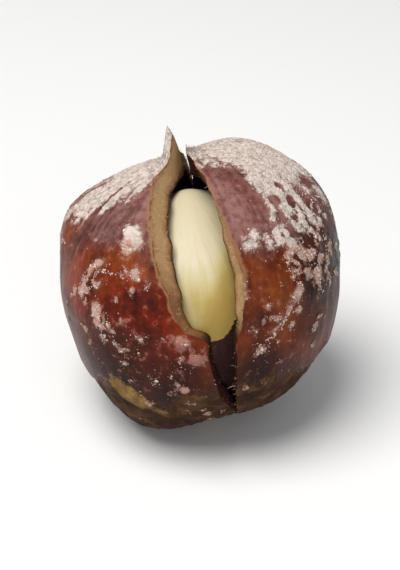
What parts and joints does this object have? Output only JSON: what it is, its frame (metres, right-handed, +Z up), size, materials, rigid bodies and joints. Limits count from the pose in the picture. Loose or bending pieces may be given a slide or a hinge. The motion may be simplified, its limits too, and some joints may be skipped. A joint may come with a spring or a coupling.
{
  "type": "hazelnut in shell",
  "caption": "Round hazelnut whose hard shell has split open from its tip down the front, with the pale kernel lying inside; it rests on a small flat.",
  "frame": {"origin": "on the ground, under the middle of the nut's box", "axes": "+Z up from the flat it rests on, -Y towards the side where the shell has split open, +X to the right as seen from that side"},
  "size_m": [0.0184, 0.0176, 0.019],
  "materials": {
    "shell": "smooth, half gloss, with a dry crust of salt",
    "kernel": "smooth, waxy"
  },
  "bodies": {
    "root": {"shell": "shell", "kernel": "kernel"}
  },
  "joints": []
}
